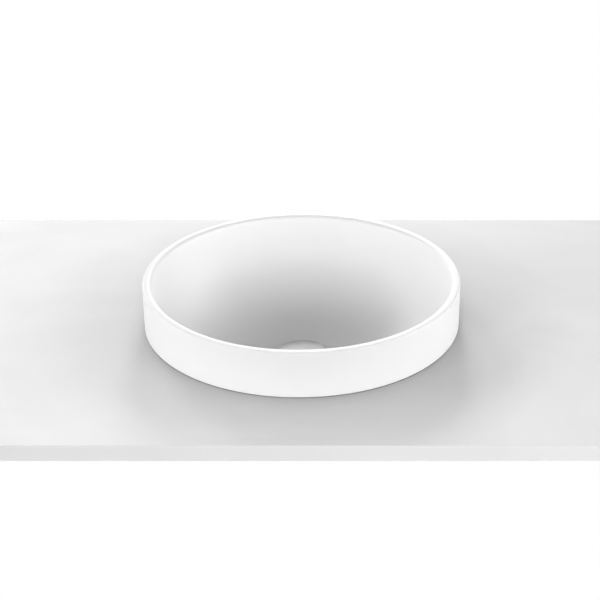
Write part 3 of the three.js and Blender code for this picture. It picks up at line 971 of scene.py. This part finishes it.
for level, outward in ((spring_bottom, -1), (spring_top, 1)):
    bpy.ops.mesh.select_all(action="SELECT")
    bpy.ops.mesh.bisect(plane_co=(0, 0, level), plane_no=(0, 0, outward), use_fill=True,
                        clear_outer=True, threshold=merge_distance)
bpy.ops.mesh.select_all(action="SELECT")
bpy.ops.mesh.normals_make_consistent(inside=False)
bpy.ops.object.mode_set(mode="OBJECT")
smoothed(spring)
steel = stainless_steel()
spring.data.materials.append(steel)
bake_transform(spring)
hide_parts("return_spring")


# The spring plug: an acetal plug pressed into the barrel's lower end. Its spigot centres the
# spring, and the slot across its face takes a screwdriver for pulling it out.
plug_radius, plug_bottom, plug_top = reach("spring_seat")
plug_face = 4 * mm
slot_width = 1.2 * mm
slot_depth = 1.5 * mm
slot_ease = 0.1 * mm

plug_spigot = spring_radius - spring_wire / 2 - seat_gap
spring_plug = turned("spring_plug", rounded([
    (0, plug_bottom),
    (plug_radius, plug_bottom, barrel_round),
    (plug_radius, plug_bottom + plug_face, washer_round),
    (plug_spigot, plug_bottom + plug_face, washer_round),
    (plug_spigot, plug_top, barrel_round),
    (0, plug_top),
]), barrel_steps)
slot = block("slot", (-2 * plug_radius, -slot_width / 2, plug_bottom - slot_depth),
             (2 * plug_radius, slot_width / 2, plug_bottom + slot_depth), slot_ease)
combine(spring_plug, "DIFFERENCE", slot)
smoothed(spring_plug)
spring_plug.data.materials.append(acetal)
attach(spring_plug, "basin")
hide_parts("spring_seat")


# The push rod: turned from stainless bar and threaded M6 for the cap and its lock nut. Its
# shoulder pushes the cam down, and the spigot below keeps the cam centred.
rod_bottom, rod_top = reach("plunger")[1:]
rod_spigot = 4.5 * mm
rod_shoulder = 3 * mm
rod_thread = 15.2 * mm
rod_chamfer = 0.6 * mm

shoulder_bottom = rod_bottom + rod_spigot
rod_thread_bottom = rod_top - rod_thread
rod = turned("push_rod", rounded([
    (0, rod_bottom),
    (spigot_radius, rod_bottom, barrel_round),
    (spigot_radius, shoulder_bottom),
    (cam_radius, shoulder_bottom, edge_break),
    (cam_radius, shoulder_bottom + rod_shoulder, edge_break),
    (rod_radius, shoulder_bottom + rod_shoulder, edge_break),
    *wall_rows(rod_radius, rod_thread_bottom, rod_top - rod_chamfer, fine_pitch),
    (rod_radius - rod_chamfer, rod_top),
    (0, rod_top),
]), barrel_steps)
smoothed(rod)
cut_thread(rod, rod_radius, rod_thread_bottom, rod_top, fine_pitch, fine_depth)
rod.data.materials.append(steel)
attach(rod, "plug")
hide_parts("plunger")


# The thin lock nut: a stainless M6 nut, run up against the cap's boss, that holds the cap at the
# height it was screwed to.
lock_across = 10 * mm
lock_bottom, lock_top = reach("stem_lock_nut")[1:]

lock_nut = hexagon("thin_lock_nut", lock_across, lock_bottom, lock_top,
                   wall_rows(rod_bore, lock_top, lock_bottom, fine_pitch), barrel_steps)
smoothed(lock_nut)
cut_thread(lock_nut, rod_bore, lock_bottom, lock_top, fine_pitch, fine_depth)
lock_nut.data.materials.append(steel)
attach(lock_nut, "plug")
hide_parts("stem_lock_nut")


# The cap washer: a thick rubber ring round the cap's boss, held in a pocket under the dome. Its
# ribbed rim closes on the flange, and its step drops into the throat.
cap_washer_outer, cap_washer_bottom, cap_washer_top = reach("plug_seal")
cap_boss_wall = 3 * mm
washer_step = 2 * mm
cap_washer_grooves = 4

cap_boss_radius = rod_bore + cap_boss_wall
step_radius = tube_bore - seat_gap
cap_washer = turned("cap_washer", rounded([
    (cap_boss_radius + seat_gap, cap_washer_bottom, rubber_round),
    (step_radius, cap_washer_bottom, seal_round),
    (step_radius, cap_washer_bottom + washer_step, rubber_round),
    *ribbed(step_radius, cap_washer_outer, cap_washer_bottom + washer_step, rib_depth, cap_washer_grooves),
    (cap_washer_outer, cap_washer_bottom + washer_step, rubber_round),
    (cap_washer_outer, cap_washer_top, rubber_round),
    (cap_boss_radius + seat_gap, cap_washer_top, rubber_round),
]), rubber_steps)
smoothed(cap_washer)
cap_washer.data.materials.append(rubber)
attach(cap_washer, "plug")
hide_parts("plug_seal")


# The cap: a solid dome turned from brass bar and chrome plated, with a pocket for its washer and a
# threaded boss below. It stands a little proud of the floor when the waste is shut.
cap_bottom, cap_top = reach("plug_cap")[1:]
cap_rise = 5.5 * mm
cap_edge = 1.6 * mm
cap_edge_round = 0.5 * mm
cap_reveal = 0.8 * mm
pocket_rim = 6 * mm
pocket_depth = 1.6 * mm
cap_steps = 192

cap_foot = cap_top - cap_rise - cap_edge
bore_end = cap_foot + cap_reveal - seat_gap
dome_radius = (cap_radius ** 2 + cap_rise ** 2) / (2 * cap_rise)
dome_start = math.acos((cap_radius - cap_edge_round) / dome_radius)
dome = arc(Vector((0, cap_top - dome_radius)), dome_radius, dome_start, math.pi / 2)
cap = turned("domed_cap", rounded([
    (0, bore_end),
    *wall_rows(rod_bore, bore_end, cap_bottom, fine_pitch),
    (cap_boss_radius, cap_bottom, barrel_round),
    (cap_boss_radius, cap_foot + pocket_depth),
    (cap_radius - pocket_rim, cap_foot + pocket_depth),
    (cap_radius - pocket_rim, cap_foot, edge_break),
    (cap_radius, cap_foot, cap_edge_round),
    (cap_radius, dome[0].y - cap_edge_round, cap_edge_round / 2),
    *dome[:-1],
    (0, cap_top),
]), cap_steps)
smoothed(cap)
cut_thread(cap, rod_bore, cap_bottom, bore_end, fine_pitch, fine_depth)
cap.data.materials.append(chrome)
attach(cap, "plug")
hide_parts("plug_cap")
